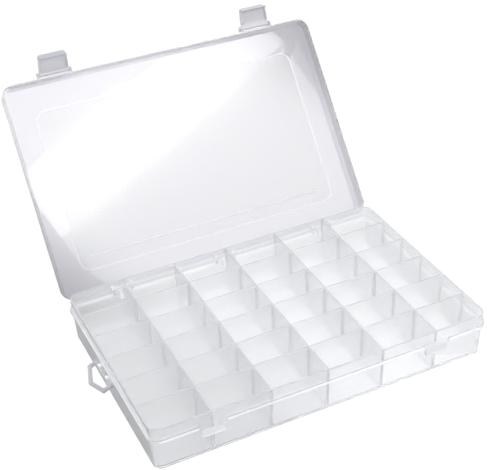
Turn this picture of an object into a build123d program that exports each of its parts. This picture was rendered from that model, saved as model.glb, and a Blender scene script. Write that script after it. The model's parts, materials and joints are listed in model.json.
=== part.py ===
from build123d import *
import math
import os

os.makedirs("parts", exist_ok=True)

# Storage box with six by six compartments. X points right, Y from the latches to the hinge, Z up.
# The origin is the middle of the tray's underside. The lid stands open, the latches and the hanging
# loop stand as photographed, and every divider is seated.

# tray
columns = 6
rows = 6
column_pitch = 45.0
row_pitch = 28.4
end_column_trim = 0.85  # the two outer columns are this much narrower at the rim
tray_height = 37.4
tray_wall = 1.4
tray_floor = 1.4
wall_lean = 1.8  # how far each outer wall leans in from rim to underside
rim_radius = 6.6  # inside corners at the rim
rim_rounding = 0.4
foot_rounding = 1.2
floor_rounding = 2.0

# fixed walls, one between each pair of columns
fixed_wall_top = 1.2
fixed_wall_foot = 1.6
fixed_wall_rounding = 1.0  # where a fixed wall meets the front and back walls

# guide ribs that hold the dividers
guide_reach = 0.8
guide_width = 0.8
guide_drop = 3.0  # below the rim
divider_thickness = 1.2
divider_side_gap = 0.1  # to each guide rib
divider_end_gap = 0.15
divider_floor_gap = 0.2
divider_rim_drop = 0.2
divider_chamfer = 2.4
divider_rounding = 1.0

# flange below the rim, which the closed lid's skirt sits over
flange_drop = 9.4  # from the rim
flange_reach = 1.2  # beyond the rim's outer face
flange_land = 2.0
flange_taper = 2.4

# lid
lid_gap = 0.2  # to the rim, all round and above
skirt_wall = 1.2
skirt_gap = 0.2  # above the flange
panel_wall = 1.3
lid_rounding = 1.2
pad_side_inset = 21.35
pad_front_inset = 23.1
pad_back_inset = 17.9
pad_radius = 9.0
pad_step = 0.7
pad_slope = 45  # degrees, the sides of the step
ridge_left_inset = 10.0  # from the pad's left edge
ridge_right_inset = 13.0
ridge_back_inset = 11.6
ridge_width = 2.0
ridge_height = 0.3
lid_opening = 128.5  # degrees from closed

# hinge
hinge_behind_rim = 2.4  # axis behind the rim's outer face
hinge_above_flange = 0.8
hinge_pin_radius = 1.5
hinge_pin_gap = 0.08
ear_radius = 2.8
ear_wall = 2.0
ear_spacing = 14.0
ear_gap = 0.5
ear_clearance = 0.6
ear_root_drop = 1.6  # the ear's foot on the wall, below the ear
ear_root_dip = 0.6  # and below its top
stop_width = 6.0
stop_gap = 0.1
stop_near = 2.0
stop_far = 4.6
stop_step = 0.2  # outside the wall
stop_below_pin = 0.8
stop_toe = 1.2  # behind the axis
stop_back = 0.5
stop_thickness = 1.4
stop_root_top = 4.0  # below the axis
stop_root_low = 10.0
web_width = 2.7
web_flat = 0.5  # the web's lower face on the pin, above the pin's underside
web_root_top = 4.5  # its upper end on the skirt, above the axis

# latches and their catches
latch_ahead = 3.5  # axis ahead of the lid's skirt
latch_above = 4.5  # axis above the skirt's rim
latch_width = 24.4
latch_tip_width = 23.0
latch_length = 17.0
latch_wall = 1.4
latch_bulge = 0.9
latch_barrel_radius = 1.5
latch_pin_radius = 1.0
latch_pin_gap = 0.08
latch_end_gap = 0.3
latch_tip_flare = 1.1
latch_tip_bevel = 0.4
latch_tip_rounding = 2.5  # its two outer corners
hook_reach = 4.5  # from the latch's axis line toward the tray
hook_near = 14.7
hook_far = 16.2
lug_wall = 1.8
lug_radius = 2.2
lug_foot = 3.2
shelf_wall = 1.2
shelf_gap = 0.25
cheek_wall = 1.1  # folded-in sides of the latch
cheek_reach = 2.3
cheek_start = 2.6
left_fold = 38.5  # degrees from the lid's plane toward closing
right_fold = 20.9
catch_side_gap = 1.5  # to each end of the break in the flange
catch_gap = 0.3
catch_reach = 3.4
catch_land = 1.2
catch_slope = 3.4
flange_break = 21.0

# hanging loop
loop_axis_out = 3.0  # outside the rim's outer face
loop_axis_drop = 3.4  # below the flange's top
loop_droop = 25.0  # degrees below level
loop_width = 33.0
loop_shoulder = 7.0
loop_reach = 12.8
loop_band = 3.0
loop_thickness = 2.4
loop_bar_radius = 1.5
loop_bar_gap = 0.08
loop_rounding = 0.6
clip_inset = 4.5  # inside each leg of the loop
clip_width = 3.0
clip_wall = 1.2
clip_grip = 0.9  # how far its arms reach past the bar's middle

overrun = 1.0  # how far a cutting shape runs past what it cuts
nearly = 0.01  # edges closer than this lie on the same face

inner_width = columns * column_pitch - fixed_wall_top - 2 * end_column_trim
inner_depth = rows * row_pitch
half_width = inner_width / 2 + tray_wall
half_depth = inner_depth / 2 + tray_wall
outer_radius = rim_radius + tray_wall
lean_angle = math.degrees(math.atan2(wall_lean, tray_height))
cell_depth = tray_height - tray_floor
floor_lean = wall_lean * cell_depth / tray_height
column_middles = [(c - (columns - 1) / 2) * column_pitch for c in range(columns)]
wall_lines = [(c - columns / 2) * column_pitch for c in range(1, columns)]
row_lines = [(r - rows / 2) * row_pitch for r in range(1, rows)]

flange_top = tray_height - flange_drop
skirt_bottom = flange_top + skirt_gap
panel_under = tray_height + lid_gap
lid_top = panel_under + panel_wall
lid_half_width = half_width + lid_gap + skirt_wall
lid_half_depth = half_depth + lid_gap + skirt_wall
lid_radius = outer_radius + lid_gap + skirt_wall
flange_edge = flange_top - flange_land
flange_foot = flange_edge - flange_taper
opening = math.radians(lid_opening)

hinge_y = half_depth + hinge_behind_rim
hinge_z = flange_top + hinge_above_flange
latch_spread = (columns / 2 - 1) * column_pitch  # on the outermost fixed walls, as the hinges are
latch_y = -lid_half_depth - latch_ahead
latch_z = skirt_bottom + latch_above
latch_lines = [-latch_spread, latch_spread]
hinge_lines = [-latch_spread, 0, latch_spread]
pad_width = 2 * (lid_half_width - pad_side_inset)
pad_length = 2 * lid_half_depth - pad_front_inset - pad_back_inset
pad_centre = (pad_front_inset - pad_back_inset) / 2
loop_axis_height = flange_top - loop_axis_drop
clip_spread = loop_width / 2 - loop_band - clip_inset - clip_width / 2


def outer_lean(height):
    return wall_lean * (1 - height / tray_height)


def side_view(x):
    """Upright plane at x, drawn as Y across and Z up."""
    return Plane(origin=(x, 0, 0), x_dir=(0, 1, 0), z_dir=(1, 0, 0))


def outline(margin):
    """The tray's outline at the rim, made larger by the margin on every side."""
    RectangleRounded(2 * (half_width + margin), 2 * (half_depth + margin), outer_radius + margin)


with BuildPart() as cells:
    with BuildSketch(Plane.XY.offset(tray_floor)):
        RectangleRounded(
            inner_width - 2 * floor_lean, inner_depth - 2 * floor_lean, rim_radius - floor_lean
        )
    extrude(amount=cell_depth, taper=-lean_angle)
    with BuildSketch(Plane.XZ):
        for x in wall_lines:
            Polygon(
                (x - fixed_wall_foot / 2, 0),
                (x + fixed_wall_foot / 2, 0),
                (x + fixed_wall_top / 2, tray_height + overrun),
                (x - fixed_wall_top / 2, tray_height + overrun),
                align=None,
            )
    extrude(amount=inner_depth, both=True, mode=Mode.SUBTRACT)
    upright = [e for e in cells.edges() if e.bounding_box().size.Z > cell_depth - overrun]
    corners = [e for e in upright if abs(e.center().X) < (inner_width - column_pitch) / 2]
    fillet(corners, fixed_wall_rounding)
    floor_edges = [e for e in cells.edges() if e.bounding_box().max.Z < tray_floor + nearly]
    fillet(floor_edges, floor_rounding)


with BuildPart() as tray:
    # flange
    with BuildSketch(Plane.XY.offset(flange_foot)):
        outline(-outer_lean(flange_foot))
    with BuildSketch(Plane.XY.offset(flange_edge)):
        outline(flange_reach)
    loft(ruled=True)
    with BuildSketch(Plane.XY.offset(flange_edge)):
        outline(flange_reach)
    extrude(amount=flange_land)
    # the flange is broken at the catches and at the hinge
    with BuildSketch(Plane.XY.offset(tray_floor)):
        for x in latch_lines:
            with Locations((x, -half_depth)):
                Rectangle(flange_break, 2 * (tray_wall + flange_reach))
        for x in hinge_lines:
            with Locations((x, half_depth)):
                Rectangle(ear_spacing + 2 * ear_wall, 2 * (tray_wall + flange_reach))
    extrude(amount=tray_height, mode=Mode.SUBTRACT)
    # walls
    with BuildSketch():
        outline(-wall_lean)
    extrude(amount=tray_height, taper=-lean_angle)
    fillet([e for e in tray.edges() if e.bounding_box().max.Z < nearly], foot_rounding)
    fillet([e for e in tray.edges() if e.bounding_box().min.Z > tray_height - nearly], rim_rounding)
    add(cells.part, mode=Mode.SUBTRACT)
    # guide ribs
    for y in row_lines:
        for side in (-1, 1):
            rib_y = y + side * (divider_thickness / 2 + divider_side_gap + guide_width / 2)
            with BuildSketch(Plane.XZ.offset(-rib_y)):
                top = tray_height - guide_drop
                low = tray_floor / 2
                Polygon(
                    (-half_width + outer_lean(low) + tray_wall / 2, low),
                    (half_width - outer_lean(low) - tray_wall / 2, low),
                    (half_width - outer_lean(top) - tray_wall / 2, top),
                    (-half_width + outer_lean(top) + tray_wall / 2, top),
                    align=None,
                )
                for x in column_middles:
                    outer = abs(x) > (columns / 2 - 1) * column_pitch
                    sign = math.copysign(1, x)
                    near = column_pitch / 2 - guide_reach
                    far_foot = inner_width / 2 - floor_lean - guide_reach - abs(x)
                    far_top = inner_width / 2 - guide_reach - abs(x)
                    near_foot = near - fixed_wall_foot / 2
                    near_top = near - fixed_wall_top / 2
                    Polygon(
                        (x - sign * near_foot, tray_floor),
                        (x + sign * (far_foot if outer else near_foot), tray_floor),
                        (x + sign * (far_top if outer else near_top), tray_height),
                        (x - sign * near_top, tray_height),
                        align=None,
                        mode=Mode.SUBTRACT,
                    )
            extrude(amount=guide_width / 2, both=True)
    # catches
    for x in latch_lines:
        with BuildSketch(side_view(x)):
            catch_low = latch_z - hook_near + catch_gap
            catch_out = latch_y + catch_reach
            inside = -half_depth + outer_lean(catch_low) + tray_wall / 2
            Polygon(
                (inside, catch_low),
                (catch_out, catch_low),
                (catch_out, catch_low + catch_land),
                (-half_depth + outer_lean(flange_top), catch_low + catch_land + catch_slope),
                (inside, catch_low + catch_land + catch_slope),
                align=None,
            )
        extrude(amount=flange_break / 2 - catch_side_gap, both=True)
    # hinge ears, with the stop that the open lid leans on
    for x in hinge_lines:
        for side in (-1, 1):
            with BuildSketch(side_view(x + side * (ear_spacing + ear_wall) / 2)):
                with Locations((hinge_y, hinge_z)):
                    Circle(ear_radius)
                Polygon(
                    (half_depth - tray_wall, hinge_z - ear_radius - ear_root_drop),
                    (hinge_y, hinge_z - ear_radius),
                    (hinge_y, hinge_z + ear_radius),
                    (half_depth - tray_wall, hinge_z + ear_radius - ear_root_dip),
                    align=None,
                )
                with Locations((hinge_y, hinge_z)):
                    Circle(hinge_pin_radius + hinge_pin_gap, mode=Mode.SUBTRACT)
            extrude(amount=ear_wall / 2, both=True)
        with BuildSketch(side_view(x)):
            rest = hinge_behind_rim - lid_gap - skirt_wall - stop_gap
            face = [
                (
                    hinge_y - rest * math.cos(opening) + t * math.sin(opening),
                    hinge_z + rest * math.sin(opening) + t * math.cos(opening),
                )
                for t in (stop_near, stop_far)
            ]
            under_pin = hinge_z - hinge_pin_radius - stop_below_pin
            Polygon(
                (half_depth - tray_wall, hinge_z - stop_root_top),
                (half_depth + stop_step, under_pin),
                (hinge_y, under_pin),
                (hinge_y + stop_toe, under_pin + stop_below_pin / 2),
                face[0],
                face[1],
                (face[1][0] - stop_back, face[1][1] - stop_thickness),
                (half_depth - tray_wall, hinge_z - stop_root_low),
                align=None,
            )
        extrude(amount=stop_width / 2, both=True)
    # clips for the hanging loop
    for y in (-clip_spread, clip_spread):
        with BuildSketch(Plane.XZ.offset(-y)):
            with Locations((-half_width - loop_axis_out, loop_axis_height)):
                Circle(loop_bar_radius + loop_bar_gap + clip_wall)
            Polygon(
                (-half_width - loop_axis_out, loop_axis_height - loop_bar_radius - clip_wall),
                (-half_width - loop_axis_out, loop_axis_height + loop_bar_radius + clip_wall),
                (-half_width + tray_wall, loop_axis_height + loop_bar_radius + clip_wall),
                (-half_width + tray_wall, loop_axis_height - loop_bar_radius - 2 * clip_wall),
                align=None,
            )
            with Locations((-half_width - loop_axis_out, loop_axis_height)):
                Circle(loop_bar_radius + loop_bar_gap, mode=Mode.SUBTRACT)
            # open to the outside, so that the bar snaps in
            with Locations((-half_width - loop_axis_out - clip_grip - loop_bar_radius, loop_axis_height)):
                Rectangle(2 * loop_bar_radius, 4 * loop_bar_radius + 4 * clip_wall, mode=Mode.SUBTRACT)
        extrude(amount=clip_width / 2, both=True)
tray.part.label = "tray"
export_step(tray.part, "parts/tray.step")

# The lid is drawn as if closed, on a plane through the hinge that leans with it: X across, Y toward
# the back, Z up from the hinge.
lid_plane = Plane(
    origin=(0, hinge_y, hinge_z), x_dir=(1, 0, 0), z_dir=(0, math.sin(opening), math.cos(opening))
)
lid_back = lid_plane.y_dir
lid_up = lid_plane.z_dir


def lid_side(x):
    """Upright plane at x that leans with the lid."""
    return Plane(origin=lid_plane.origin + Vector(x, 0, 0), x_dir=lid_back, z_dir=(1, 0, 0))


def lid_level(height):
    return lid_plane.offset(height - hinge_z)


front_face = -lid_half_depth - hinge_y
back_face = lid_half_depth - hinge_y
pivot = (latch_y - hinge_y, latch_z - hinge_z)

with BuildPart() as lid:
    with BuildSketch(lid_level(skirt_bottom)):
        with Locations((0, -hinge_y)):
            RectangleRounded(2 * lid_half_width, 2 * lid_half_depth, lid_radius)
    extrude(amount=lid_top - skirt_bottom)
    crown = [
        e for e in lid.edges()
        if abs((e.center() - lid_plane.origin).dot(lid_up) - (lid_top - hinge_z)) < nearly
    ]
    fillet(crown, lid_rounding)
    # raised pad, hollow beneath
    with BuildSketch(lid_level(lid_top)):
        with Locations((0, pad_centre - hinge_y)):
            RectangleRounded(pad_width, pad_length, pad_radius)
    extrude(amount=pad_step, taper=pad_slope)
    with BuildSketch(lid_level(skirt_bottom)):
        with Locations((0, -hinge_y)):
            RectangleRounded(
                2 * (lid_half_width - skirt_wall),
                2 * (lid_half_depth - skirt_wall),
                lid_radius - skirt_wall,
            )
    extrude(amount=panel_under - skirt_bottom, mode=Mode.SUBTRACT)
    with BuildSketch(lid_level(panel_under)):
        inset = panel_wall * math.tan(math.radians(pad_slope / 2))
        with Locations((0, pad_centre - hinge_y)):
            RectangleRounded(pad_width - 2 * inset, pad_length - 2 * inset, pad_radius - inset)
    extrude(amount=pad_step, taper=pad_slope, mode=Mode.SUBTRACT)
    # low rounded ridge on the pad's inner face
    with BuildSketch(lid_side((ridge_left_inset - ridge_right_inset) / 2)):
        ridge_y = back_face - pad_back_inset - ridge_back_inset
        ridge_z = panel_under + pad_step - hinge_z
        near = ridge_y - ridge_width / 2
        far = ridge_y + ridge_width / 2
        with BuildLine():
            ThreePointArc((near, ridge_z), (ridge_y, ridge_z - ridge_height), (far, ridge_z))
            Polyline(
                (far, ridge_z),
                (far, ridge_z + ridge_height),
                (near, ridge_z + ridge_height),
                (near, ridge_z),
            )
        make_face()
    extrude(amount=(pad_width - ridge_left_inset - ridge_right_inset) / 2, both=True)
    # hinge pins
    for x in hinge_lines:
        for side in (-1, 1):
            with BuildSketch(lid_side(x + side * (ear_spacing + ear_wall) / 2)):
                with Locations((back_face - skirt_wall / 2, 0)):
                    Rectangle(2 * skirt_wall, 2 * (ear_radius + ear_clearance))
            extrude(amount=ear_wall / 2 + ear_gap, both=True, mode=Mode.SUBTRACT)
            with BuildSketch(lid_side(x + side * (ear_spacing / 2 - ear_gap - web_width / 2))):
                Polygon(
                    (back_face - skirt_wall / 2, skirt_bottom - hinge_z),
                    (0, -hinge_pin_radius + web_flat),
                    (0, hinge_pin_radius),
                    (back_face - skirt_wall / 2, web_root_top),
                    align=None,
                )
            extrude(amount=web_width / 2, both=True)
        with BuildSketch(lid_side(x)):
            Circle(hinge_pin_radius)
        extrude(amount=ear_spacing / 2 + ear_wall, both=True)
    # lugs and shelf for the latches
    for x in latch_lines:
        for side in (-1, 1):
            with BuildSketch(lid_side(x + side * (latch_width / 2 + latch_end_gap + lug_wall / 2))):
                with Locations(pivot):
                    Circle(lug_radius)
                Polygon(
                    (front_face + skirt_wall / 2, pivot[1] - lug_foot),
                    (pivot[0], pivot[1] - lug_radius),
                    (pivot[0], pivot[1] + lug_radius),
                    (front_face + skirt_wall / 2, pivot[1] + lug_foot),
                    align=None,
                )
                with Locations(pivot):
                    Circle(latch_pin_radius + latch_pin_gap, mode=Mode.SUBTRACT)
            extrude(amount=lug_wall / 2, both=True)
        with BuildSketch(lid_side(x)):
            shelf_out = pivot[0] + latch_barrel_radius + shelf_gap
            with Locations(((shelf_out + front_face + skirt_wall / 2) / 2, pivot[1])):
                Rectangle(front_face + skirt_wall / 2 - shelf_out, shelf_wall)
        extrude(amount=latch_width / 2 + latch_end_gap + lug_wall / 2, both=True)
lid.part.label = "lid"
export_step(lid.part, "parts/lid.step")

# Each latch is drawn along its own length: X toward its tip, Y toward the tray when hooked.
latches = (("latch_left", -latch_spread, left_fold), ("latch_right", latch_spread, right_fold))
for name, x, fold in latches:
    axis_point = lid_plane.from_local_coords(Vector(x, pivot[0], pivot[1]))
    along = lid_back * -math.cos(math.radians(fold)) - lid_up * math.sin(math.radians(fold))
    inward = Vector(1, 0, 0).cross(along)
    profile = Plane(origin=axis_point, x_dir=along, z_dir=(1, 0, 0))
    with BuildPart() as latch:
        with BuildSketch(profile):
            with BuildLine():
                half = latch_wall / 2
                ThreePointArc((0, half), (hook_near / 2, half - latch_bulge), (hook_near, half))
                Polyline(
                    (hook_near, half),
                    (hook_near, hook_reach),
                    (hook_near + half, hook_reach),
                    (hook_far, half),
                    (latch_length, -latch_tip_flare),
                    (latch_length - latch_tip_bevel, -half - latch_tip_flare),
                    (hook_near - half, -half),
                )
                ThreePointArc((hook_near - half, -half), (hook_near / 2, -half - latch_bulge), (0, -half))
                Line((0, -half), (0, half))
            make_face()
            Circle(latch_barrel_radius)
        extrude(amount=latch_width / 2, both=True)
        for side in (-1, 1):
            with BuildSketch(profile.offset(side * (latch_width - cheek_wall) / 2)):
                Polygon(
                    (cheek_start, 0),
                    (cheek_start + cheek_reach, cheek_reach),
                    (hook_near, cheek_reach),
                    (hook_near, 0),
                    align=None,
                )
            extrude(amount=cheek_wall / 2 + (latch_width - latch_tip_width) / 4, both=True)
        with BuildSketch(Plane(origin=axis_point, x_dir=(1, 0, 0), z_dir=inward)) as latch_plan:
            Polygon(
                (-latch_width / 2, -2 * latch_barrel_radius),
                (latch_width / 2, -2 * latch_barrel_radius),
                (latch_width / 2, 0),
                (latch_tip_width / 2, latch_length - latch_tip_bevel / 2),
                (-latch_tip_width / 2, latch_length - latch_tip_bevel / 2),
                (-latch_width / 2, 0),
                align=None,
            )
            fillet(latch_plan.vertices().group_by(Axis.Y)[-1], latch_tip_rounding)
        extrude(amount=2 * hook_reach, both=True, mode=Mode.INTERSECT)
        with BuildSketch(profile):
            Circle(latch_pin_radius)
        extrude(amount=latch_width / 2 + latch_end_gap + lug_wall, both=True)
    latch.part.label = name
    export_step(latch.part, f"parts/{name}.step")

# hanging loop: X along the wall, Y outward along the loop
droop = math.radians(loop_droop)
outward = Vector(-math.cos(droop), 0, -math.sin(droop))
loop_normal = Vector(0, -1, 0).cross(outward)
loop_axis = Vector(-half_width - loop_axis_out, 0, loop_axis_height)
with BuildPart() as hang_loop:
    with BuildSketch(Plane(origin=loop_axis, x_dir=(0, -1, 0), z_dir=loop_normal)):
        with BuildSketch(mode=Mode.PRIVATE) as loop_outline:
            Polygon(
                (-loop_width / 2, 0),
                (loop_width / 2, 0),
                (loop_width / 2, loop_shoulder),
                (0, loop_reach),
                (-loop_width / 2, loop_shoulder),
                align=None,
            )
            fillet([v for v in loop_outline.vertices() if v.Y > loop_band / 2], loop_band / 2)
        add(loop_outline.sketch)
        slope = math.atan2(loop_reach - loop_shoulder, loop_width / 2)
        inner_half = loop_width / 2 - loop_band
        inner_reach = loop_reach - loop_band / math.cos(slope)
        Polygon(
            (-inner_half, -overrun),
            (inner_half, -overrun),
            (inner_half, inner_reach - inner_half * math.tan(slope)),
            (0, inner_reach),
            (-inner_half, inner_reach - inner_half * math.tan(slope)),
            align=None,
            mode=Mode.SUBTRACT,
        )
    extrude(amount=loop_thickness / 2, both=True)
    outer = [e for e in hang_loop.edges() if (e.center() - loop_axis).dot(outward) > nearly]
    rims = [e for e in outer if abs((e.center() - loop_axis).dot(loop_normal)) > loop_thickness / 2 - nearly]
    fillet(rims, loop_rounding)
    with BuildSketch(Plane(origin=loop_axis, x_dir=(1, 0, 0), z_dir=(0, -1, 0))):
        Circle(loop_bar_radius)
    extrude(amount=loop_width / 2, both=True)
hang_loop.part.label = "hang_loop"
export_step(hang_loop.part, "parts/hang_loop.step")

# dividers, the same in every column but for the lean of the side walls at the two ends
divider_low = tray_floor + divider_floor_gap
divider_top = tray_height - divider_rim_drop
for c, x in enumerate(column_middles, 1):
    sides = {}
    for sign in (-1, 1):
        if c == (1 if sign < 0 else columns):
            foot = inner_width / 2 - outer_lean(divider_low) - abs(x)
            top = inner_width / 2 - outer_lean(divider_top) - abs(x)
        else:
            foot = (column_pitch - fixed_wall_foot) / 2
            top = (column_pitch - fixed_wall_top) / 2
        sides[sign] = (foot - divider_end_gap, top - divider_end_gap)
    for r, y in enumerate(row_lines, 1):
        with BuildPart() as divider:
            with BuildSketch(Plane.XZ.offset(-y)) as face:
                Polygon(
                    (x - sides[-1][0], divider_low),
                    (x + sides[1][0], divider_low),
                    (x + sides[1][1], divider_top),
                    (x - sides[-1][1], divider_top),
                    align=None,
                )
                chamfer([v for v in face.vertices() if v.Y < tray_height / 2], divider_chamfer)
                fillet([v for v in face.vertices() if v.Y > tray_height / 2], divider_rounding)
            extrude(amount=divider_thickness / 2, both=True)
        divider.part.label = f"divider_c{c}_r{r}"
        export_step(divider.part, f"parts/divider_c{c}_r{r}.step")
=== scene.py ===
import json
import math

import bmesh
import bpy
from mathutils import Euler, Matrix, Quaternion, Vector


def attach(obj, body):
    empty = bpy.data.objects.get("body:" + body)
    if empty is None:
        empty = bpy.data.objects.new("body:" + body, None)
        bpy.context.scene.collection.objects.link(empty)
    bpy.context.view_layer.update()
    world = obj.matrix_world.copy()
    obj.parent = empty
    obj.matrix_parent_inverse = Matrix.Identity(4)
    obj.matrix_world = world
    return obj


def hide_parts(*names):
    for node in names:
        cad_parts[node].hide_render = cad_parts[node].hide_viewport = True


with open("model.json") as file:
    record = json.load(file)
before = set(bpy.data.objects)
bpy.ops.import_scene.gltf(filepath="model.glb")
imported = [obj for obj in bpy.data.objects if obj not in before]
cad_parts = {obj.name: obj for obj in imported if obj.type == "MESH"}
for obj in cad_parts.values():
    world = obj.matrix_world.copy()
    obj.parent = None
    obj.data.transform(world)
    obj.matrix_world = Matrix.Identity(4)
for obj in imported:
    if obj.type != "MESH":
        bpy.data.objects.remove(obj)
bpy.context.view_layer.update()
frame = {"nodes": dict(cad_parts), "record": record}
print("frame loaded:", len(frame["nodes"]), "nodes")

millimetre = 0.001  # m


def linear(hexColour):
    channels = [int(hexColour[i:i + 2], 16) / 255 for i in (1, 3, 5)]
    return [c / 12.92 if c <= 0.04045 else ((c + 0.055) / 1.055) ** 2.4 for c in channels] + [1.0]


def addNode(tree, kind, settings=None, links=None):
    node = tree.nodes.new(kind)
    for name, value in (settings or {}).items():
        if isinstance(name, int) or name in node.inputs:
            node.inputs[name].default_value = value
        else:
            setattr(node, name, value)
    for name, output in (links or {}).items():
        tree.links.new(output, node.inputs[name])
    return node


# camera, from the photograph's vanishing lines and the tray's own sizes
cameraLook = {
    "position": (-0.2990, -0.6115, 0.5554),
    "turn": (56.2709, 2.1331, -25.8339),  # degrees
    "lens": 82.984,  # mm
    "sensor": 36.0,  # mm
    "clip": (0.02, 40.0),  # m
}
camera = bpy.data.objects.new("camera", bpy.data.cameras.new("camera"))
camera.location = cameraLook["position"]
camera.rotation_euler = Euler([math.radians(a) for a in cameraLook["turn"]], "XYZ")
camera.data.lens = cameraLook["lens"]
camera.data.sensor_width = cameraLook["sensor"]
camera.data.clip_start, camera.data.clip_end = cameraLook["clip"]
bpy.context.scene.collection.objects.link(camera)
bpy.context.scene.camera = camera
print("camera set")

# polypropylene is milky in itself: light goes through it softened, so the next wall shows as a blurred shape,
# while the mould leaves its skin glossy, and a lamp shows in it as a clear bright patch
# through: share of the light that passes, rough: blur of what passes, skin: blur of what mirrors,
# lampShare: what a lamp's light keeps in passing, satin and flow: strengths of the grain and of the waves
mouldedLook = {
    "tray": {"colour": "#FBFCFE", "through": 0.83, "rough": (0.21, 0.26), "skin": 0.12, "lampShare": 1.0,
             "satin": 0.04, "flow": 0.03},  # thin walls and floor
    "catch": {"colour": "#E6E6EA", "through": 0.45, "rough": (0.30, 0.36), "skin": 0.30, "lampShare": 0.80,
              "satin": 0.04, "flow": 0.03},  # matt patches that the latches hook on
    "thick": {"colour": "#FBFBFD", "through": 0.45, "rough": (0.18, 0.24), "skin": 0.20, "lampShare": 0.85,
              "satin": 0.04, "flow": 0.03},  # flange, ribs and hinge, where more plastic is more milk
    "rim_painted_shade": {"colour": "#CDCED5", "through": 0.50, "rough": (0.18, 0.24), "skin": 0.22, "lampShare": 0.90,
            "satin": 0.04, "flow": 0.03},  # top edges, with the depth of a whole wall below them; their darker colour is painted shade
    "step_painted_light": {"colour": "#E9E9ED", "through": 0.64, "rough": (0.18, 0.24), "skin": 0.24, "lampShare": 0.90,
             "satin": 0.04, "flow": 0.03},  # outline of the lid's pad; the outline is real, its lighter colour is a painted light line
    "lid": {"colour": "#D8D8DE", "through": 0.90, "rough": (0.14, 0.18), "skin": 0.03, "lampShare": 0.95,
            "satin": 0.04, "flow": 0.25},  # polished border, slightly wavy
    "pad": {"colour": "#D8D8DC", "through": 0.86, "rough": (0.18, 0.24), "skin": 0.08, "lampShare": 0.95,
            "satin": 0.08, "flow": 0.25},  # satin middle of the lid
    "lug": {"colour": "#DEDDE2", "through": 0.80, "rough": (0.18, 0.24), "skin": 0.10, "lampShare": 0.85,
            "satin": 0.04, "flow": 0.05},  # what the latches turn on
    "latch": {"colour": "#DCDCE2", "through": 0.50, "rough": (0.18, 0.24), "skin": 0.10, "lampShare": 0.80,
              "satin": 0.06, "flow": 0.10},
    "hook": {"colour": "#B4B5BE", "through": 0.40, "rough": (0.18, 0.24), "skin": 0.12, "lampShare": 0.80,
             "satin": 0.06, "flow": 0.10},  # free end of a latch, folded and so denser
    "side": {"colour": "#F9FAFC", "through": 0.68, "rough": (0.21, 0.26), "skin": 0.16, "lampShare": 1.0,
             "satin": 0.08, "flow": 0.03},  # outer faces at the left and right, duller than the front
    "loop": {"colour": "#CFD0D7", "through": 0.70, "rough": (0.18, 0.24), "skin": 0.10, "lampShare": 0.80,
             "satin": 0.05, "flow": 0.08},
    "divider": {"colour": "#FEFEFF", "through": 0.78, "rough": (0.215, 0.265), "skin": 0.13, "lampShare": 1.0,
                "satin": 0.04, "flow": 0.03},
}
polypropylene = {
    "index": 1.49,
    "coat": 1.0,  # the mould's gloss lies over all of it
}
surfaceGrain = {
    "satinGrain": 0.9,  # mm; the real spark-eroded grain is near 0.1 mm, too fine for a pixel here
    "satinDepth": 0.01,  # mm
    "satinDetail": 2.0,
    "flowLength": 42.0,  # mm between the soft waves that the melt leaves while it cools
    "flowDepth": 0.25,  # mm
    "flowDetail": 1.0,
}


def mouldedPolypropylene(name):
    look = mouldedLook[name]
    material = bpy.data.materials.new("polypropylene_" + name)
    material.use_nodes = True
    tree = material.node_tree
    tree.nodes.clear()
    place = addNode(tree, "ShaderNodeTexCoord")
    grain = addNode(tree, "ShaderNodeTexNoise",
                    {"Scale": 1 / (surfaceGrain["satinGrain"] * millimetre),
                     "Detail": surfaceGrain["satinDetail"]},
                    {"Vector": place.outputs["Object"]})
    flow = addNode(tree, "ShaderNodeTexNoise",
                   {"Scale": 1 / (surfaceGrain["flowLength"] * millimetre),
                    "Detail": surfaceGrain["flowDetail"]},
                   {"Vector": place.outputs["Object"]})
    waves = addNode(tree, "ShaderNodeBump",
                    {"Strength": look["flow"], "Distance": surfaceGrain["flowDepth"] * millimetre},
                    {"Height": flow.outputs["Fac"]})
    satin = addNode(tree, "ShaderNodeBump",
                    {"Strength": look["satin"], "Distance": surfaceGrain["satinDepth"] * millimetre},
                    {"Height": grain.outputs["Fac"], "Normal": waves.outputs["Normal"]})
    sheen = addNode(tree, "ShaderNodeMapRange", {"To Min": look["rough"][0], "To Max": look["rough"][1]},
                    {"Value": flow.outputs["Fac"]})
    plastic = addNode(tree, "ShaderNodeBsdfPrincipled",
                      {"Base Color": linear(look["colour"]), "Transmission Weight": look["through"],
                       "IOR": polypropylene["index"], "Coat Weight": polypropylene["coat"],
                       "Coat Roughness": look["skin"], "Coat IOR": polypropylene["index"]},
                      {"Normal": satin.outputs["Normal"], "Roughness": sheen.outputs["Result"]})
    share = look["lampShare"]
    passed = addNode(tree, "ShaderNodeBsdfTransparent", {"Color": (share, share, share, 1.0)})
    path = addNode(tree, "ShaderNodeLightPath")
    pick = addNode(tree, "ShaderNodeMixShader", None,
                   {0: path.outputs["Is Shadow Ray"], 1: plastic.outputs["BSDF"], 2: passed.outputs["BSDF"]})
    addNode(tree, "ShaderNodeOutputMaterial", None, {"Surface": pick.outputs["Shader"]})
    return material


materials = {name: mouldedPolypropylene(name) for name in mouldedLook}
print("materials made:", len(materials))

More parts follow.
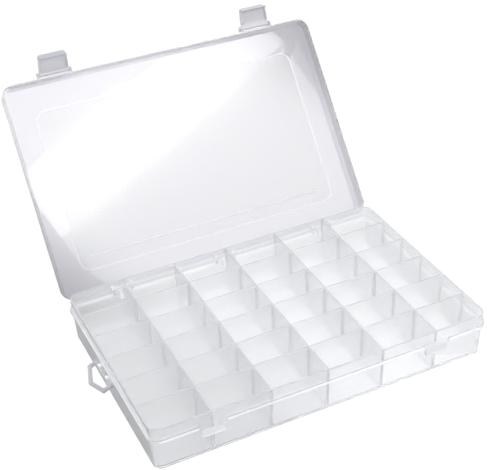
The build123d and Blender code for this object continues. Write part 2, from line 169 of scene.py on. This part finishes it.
# one mould has several finishes, so each face takes its own from where it lies and which way it points
lidZones = {
    "hinge": (0, 0.0890, 0.0288),  # m
    "up": (0, 0.7826, -0.6225),  # what is up once the lid is closed
    "front": (0, 0.6225, 0.7826),  # and what is front
    "lugsFrom": 177.3,  # mm ahead of the hinge, where the latches' lugs stand out of the lid
    "pinsTo": 0.8,  # mm ahead of the hinge, where its pins and webs end
    "padReach": 116.0,  # mm to each side
    "levels": {"pad": ((9.3, 9.7), (10.6, 11.0)), "step_painted_light": ((8.95, 9.3), (10.2, 10.6))},  # mm above the hinge
}
trayZones = {
    "catch": {"front": -85.8, "spread": 90.0, "half": 9.2, "low": 18.0, "high": 23.0},  # mm
    "flange": {"side": 137.0, "front": -87.5, "back": 87.5, "low": 25.9, "high": 28.1},  # mm
    "hingeFrom": 88.0,  # mm, behind the back wall and flange
    "ribsWithin": 80.0,  # mm, what faces the front or the back inside this is a guide rib
    "sidesFrom": 133.0,  # mm, the outer faces of the left and right walls
    "sidesTurn": 0.7,  # they end halfway round the edge of the underside
}
latchZones = {
    "axis": (0, 0.204416, 0.167633),  # m
    "hookFrom": 13.4,  # mm from the axis
}
rimFrom = 36.9  # mm, the top edges of the tray's walls and of the dividers
squarely = 0.9  # a face that points this much along an axis faces that way


def finishOf(kind, centre, facing):
    if kind == "lid":
        offset = (centre - Vector(lidZones["hinge"])) / millimetre
        height = offset.dot(Vector(lidZones["up"]))
        ahead = offset.dot(Vector(lidZones["front"]))
        if ahead > lidZones["lugsFrom"]:
            return "lug"
        if ahead < lidZones["pinsTo"]:
            return "thick"
        inside = abs(offset.x) < lidZones["padReach"]
        # the pad's outline takes the step finish, whose lighter colour is painted light
        for finish, levels in lidZones["levels"].items():
            if inside and any(low < height < high for low, high in levels):
                return finish
    if kind == "tray":
        x, y, z = centre / millimetre
        catch, flange = trayZones["catch"], trayZones["flange"]
        beside = abs(abs(x) - catch["spread"]) < catch["half"]
        if beside and y < catch["front"] and catch["low"] < z < catch["high"]:
            return "catch"
        outside = abs(x) > flange["side"] or not flange["front"] < y < flange["back"]
        if outside and flange["low"] < z < flange["high"]:
            return "thick"
        if y > trayZones["hingeFrom"] or abs(facing.y) > squarely and abs(y) < trayZones["ribsWithin"]:
            return "thick"
        if facing.x * x > trayZones["sidesTurn"] * trayZones["sidesFrom"] and z < flange["low"]:
            return "side"
    if kind == "latch":
        reach = Vector((0, centre.y, centre.z)) - Vector(latchZones["axis"])
        if reach.length > latchZones["hookFrom"] * millimetre:
            return "hook"
    # the top edges take the rim finish, whose darker colour is painted shade
    if kind in ("tray", "divider") and centre.z > rimFrom * millimetre:
        return "rim_painted_shade"
    if kind == "divider" and abs(facing.x) > squarely:
        return "thick"
    return kind


# every moulded edge has a small radius, which catches the light as a thin line
edgeRadius = {"tray": 0.22, "lid": 0.22, "latch": 0.18, "loop": 0.2, "divider": 0.25}  # mm
shaping = {
    "weld": 2e-6,  # m, between the corners that the solid's triangles share
    "flat": 0.008,  # radians, below which triangles are one face
    "crease": 32,  # degrees, from which an edge stays an edge
    "lidCrease": 50,  # degrees, from which the lid's edges are rounded
    "segments": 2,
}


def mouldedPiece(node, kind, body):
    mesh = bpy.data.meshes.new(node + "_moulded")
    work = bmesh.new()
    work.from_mesh(frame["nodes"][node].data)
    bmesh.ops.remove_doubles(work, verts=work.verts, dist=shaping["weld"])
    bmesh.ops.dissolve_limit(work, angle_limit=shaping["flat"], verts=work.verts, edges=work.edges)
    finishes = [kind]
    for face in work.faces:
        face.smooth = True
        finish = finishOf(kind, face.calc_center_median(), face.normal)
        if finish not in finishes:
            finishes.append(finish)
        face.material_index = finishes.index(finish)
    for edge in work.edges:
        edge.smooth = len(edge.link_faces) != 2 or edge.calc_face_angle(0) < math.radians(shaping["crease"])
    work.to_mesh(mesh)
    work.free()
    piece = bpy.data.objects.new(node + "_moulded", mesh)
    bpy.context.scene.collection.objects.link(piece)
    for finish in finishes:
        piece.data.materials.append(materials[finish])
    soften = piece.modifiers.new("edges", "BEVEL")
    soften.width = edgeRadius[kind] * millimetre
    soften.segments = shaping["segments"]
    soften.limit_method = "ANGLE"
    soften.angle_limit = math.radians(shaping["lidCrease" if kind == "lid" else "crease"])
    piece.modifiers.new("even", "WEIGHTED_NORMAL")
    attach(piece, body)
    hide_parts(node)


bodyOf = {n: body for body, nodes in frame["record"]["behaviour"]["bodies"].items() for n in nodes}
kindOf = {"tray": "tray", "lid": "lid", "latch_left": "latch", "latch_right": "latch", "hang_loop": "loop"}
for node in frame["nodes"]:
    kind = kindOf.get(node, "divider")
    mouldedPiece(node, kind, bodyOf[node])
print("pieces made")

# studio: a sweep under the box, an even dome, a lamp overhead and a long softbox above and in front
# the sweep is matt white paper, which shows a soft shadow and no mirror image
sweepLook = {
    "colour": "#F4F4F4",
    "half": 6.0,  # m
    "below": 0.0002,  # m under the tray, so that the two surfaces don't fight
    "fallAlong": (0.75, 0.35, 0),  # how far right and back a point counts for the fall of light
    "near": (-0.09, 0.025),  # m that way, over which the light comes up
    "far": (0.25, 0.39),  # m that way, over which it goes down again
    "nearLevel": 0.11,
    "middleLevel": 0.83,
    "farLevel": 0.40,  # share of the middle level
    "white": 0.82,  # share of plain white in what the camera sees of the floor, the rest keeps the shadow
    "shadowReach": (0.4, 1.2),  # m from the middle, beyond which the sweep is plain white and has no horizon
}
domeLook = {
    "strength": 0.90,
    "dim": 0.6,  # what gloss and glass see of the dome in front of the box, where the room is darker
    "dimTo": (-0.5, 0.2),  # from what lies in front to what lies behind, over which it gets brighter
}
studioLamps = {
    "overhead": {"position": (0.05, 0.30, 1.1), "target": (0, 0.05, 0), "tilt": 0, "size": (1.0, 0.8),
                 "power": 6.0, "mirrored": False},  # its mirror image would wash out the floor of the tray
    "front": {"position": (0.262, -0.430, 0.760), "target": (0, 0.145, 0.12), "tilt": 8, "size": (0.47, 0.62),
              "power": 1.65, "mirrored": True},  # the softbox, whose image is the bright patch in the lid
    "band": {"position": (0.243, -0.389, 0.757), "target": (0, 0.145, 0.12), "tilt": 8, "size": (0.47, 0.12),
             "power": 0.50, "mirrored": True},  # its brighter middle
    "upper": {"position": (0.2025, -0.299, 0.902), "target": (0, 0.145, 0.12), "tilt": 8,
              "size": (0.47, 0.20), "power": 0.18, "mirrored": True},  # its fading upper end
}


def raysSeen(tree, path):  # 1 for what the camera sees, in a mirror and through the plastic too
    direct = addNode(tree, "ShaderNodeMath", {"operation": "MAXIMUM"},
                     {0: path.outputs["Is Camera Ray"], 1: path.outputs["Is Glossy Ray"]})
    return addNode(tree, "ShaderNodeMath", {"operation": "MAXIMUM"},
                   {0: direct.outputs[0], 1: path.outputs["Is Transmission Ray"]})


def whitePaper():
    material = bpy.data.materials.new("paper_matt_white")
    material.use_nodes = True
    tree = material.node_tree
    tree.nodes.clear()
    path = addNode(tree, "ShaderNodeLightPath")
    place = addNode(tree, "ShaderNodeTexCoord")
    # through the plastic the sweep shows a pool of light, darker towards the front left and far behind
    along = addNode(tree, "ShaderNodeVectorMath", {"operation": "DOT_PRODUCT", 1: sweepLook["fallAlong"]},
                    {0: place.outputs["Object"]})
    rise = addNode(tree, "ShaderNodeMapRange",
                   {"From Min": sweepLook["near"][0], "From Max": sweepLook["near"][1],
                    "To Min": sweepLook["nearLevel"], "To Max": sweepLook["middleLevel"],
                    "interpolation_type": "SMOOTHSTEP"}, {"Value": along.outputs["Value"]})
    fall = addNode(tree, "ShaderNodeMapRange",
                   {"From Min": sweepLook["far"][0], "From Max": sweepLook["far"][1], "To Min": 1.0,
                    "To Max": sweepLook["farLevel"], "interpolation_type": "SMOOTHSTEP"},
                   {"Value": along.outputs["Value"]})
    pool = addNode(tree, "ShaderNodeMath", {"operation": "MULTIPLY"},
                   {0: rise.outputs[0], 1: fall.outputs[0]})
    lit = addNode(tree, "ShaderNodeMath", {"operation": "MAXIMUM"},
                  {0: pool.outputs[0], 1: path.outputs["Is Camera Ray"]})
    white = addNode(tree, "ShaderNodeEmission", None, {"Strength": lit.outputs[0]})
    distance = addNode(tree, "ShaderNodeVectorMath", {"operation": "LENGTH"}, {0: place.outputs["Object"]})
    plain = addNode(tree, "ShaderNodeMapRange",
                    {"From Min": sweepLook["shadowReach"][0], "From Max": sweepLook["shadowReach"][1],
                     "To Min": sweepLook["white"], "To Max": 1.0, "interpolation_type": "SMOOTHSTEP"},
                    {"Value": distance.outputs["Value"]})
    share = addNode(tree, "ShaderNodeMath", {"operation": "MULTIPLY"},
                    {0: raysSeen(tree, path).outputs[0], 1: plain.outputs[0]})
    paper = addNode(tree, "ShaderNodeBsdfDiffuse", {"Color": linear(sweepLook["colour"])})
    mix = addNode(tree, "ShaderNodeMixShader", None,
                  {0: share.outputs[0], 1: paper.outputs["BSDF"], 2: white.outputs["Emission"]})
    addNode(tree, "ShaderNodeOutputMaterial", None, {"Surface": mix.outputs["Shader"]})
    return material


def paleDome():
    world = bpy.data.worlds.new("dome")
    world.use_nodes = True
    tree = world.node_tree
    tree.nodes.clear()
    path = addNode(tree, "ShaderNodeLightPath")
    place = addNode(tree, "ShaderNodeTexCoord")
    split = addNode(tree, "ShaderNodeSeparateXYZ", None, {0: place.outputs["Generated"]})
    behind = addNode(tree, "ShaderNodeMapRange",
                     {"From Min": domeLook["dimTo"][0], "From Max": domeLook["dimTo"][1],
                      "To Min": domeLook["dim"], "To Max": 1.0, "interpolation_type": "SMOOTHSTEP"},
                     {"Value": split.outputs["Y"]})
    shown = addNode(tree, "ShaderNodeMath", {"operation": "MAXIMUM"},
                    {0: behind.outputs[0], 1: path.outputs["Is Camera Ray"]})
    level = addNode(tree, "ShaderNodeMix", {"data_type": "FLOAT", 2: domeLook["strength"]},
                    {0: raysSeen(tree, path).outputs[0], 3: shown.outputs[0]})
    backdrop = addNode(tree, "ShaderNodeBackground", {"Color": (1, 1, 1, 1)}, {"Strength": level.outputs[0]})
    addNode(tree, "ShaderNodeOutputWorld", None, {"Surface": backdrop.outputs["Background"]})
    return world


def softbox(name, position, target, tilt, size, power, mirrored):
    lamp = bpy.data.objects.new(name, bpy.data.lights.new(name, "AREA"))
    lamp.data.shape = "RECTANGLE"
    lamp.data.size, lamp.data.size_y = size
    lamp.data.energy = power
    lamp.visible_glossy = mirrored
    aim = (Vector(position) - Vector(target)).to_track_quat("Z", "Y")
    roll = Quaternion((0, 0, 1), math.radians(tilt))
    lamp.matrix_world = Matrix.Translation(position) @ (aim @ roll).to_matrix().to_4x4()
    bpy.context.scene.collection.objects.link(lamp)


half = sweepLook["half"]
corners = [(-half, -half, 0), (half, -half, 0), (half, half, 0), (-half, half, 0)]
floorMesh = bpy.data.meshes.new("floor")
floorMesh.from_pydata(corners, [], [(0, 1, 2, 3)])
floor = bpy.data.objects.new("floor", floorMesh)
floor.location = (0, 0, -sweepLook["below"])
floor.data.materials.append(whitePaper())
bpy.context.scene.collection.objects.link(floor)
bpy.context.scene.world = paleDome()
for name, lamp in studioLamps.items():
    softbox(name, **lamp)
print("studio lit")

facesPassed = 24  # a view across the box goes through many thin walls, with two faces each
shadowFacesPassed = 32  # the same, on the way to a lamp
bpy.context.scene.view_settings.view_transform = "Standard"
bpy.context.scene.cycles.max_bounces = facesPassed
bpy.context.scene.cycles.transmission_bounces = facesPassed
bpy.context.scene.cycles.glossy_bounces = facesPassed
bpy.context.scene.cycles.transparent_max_bounces = shadowFacesPassed
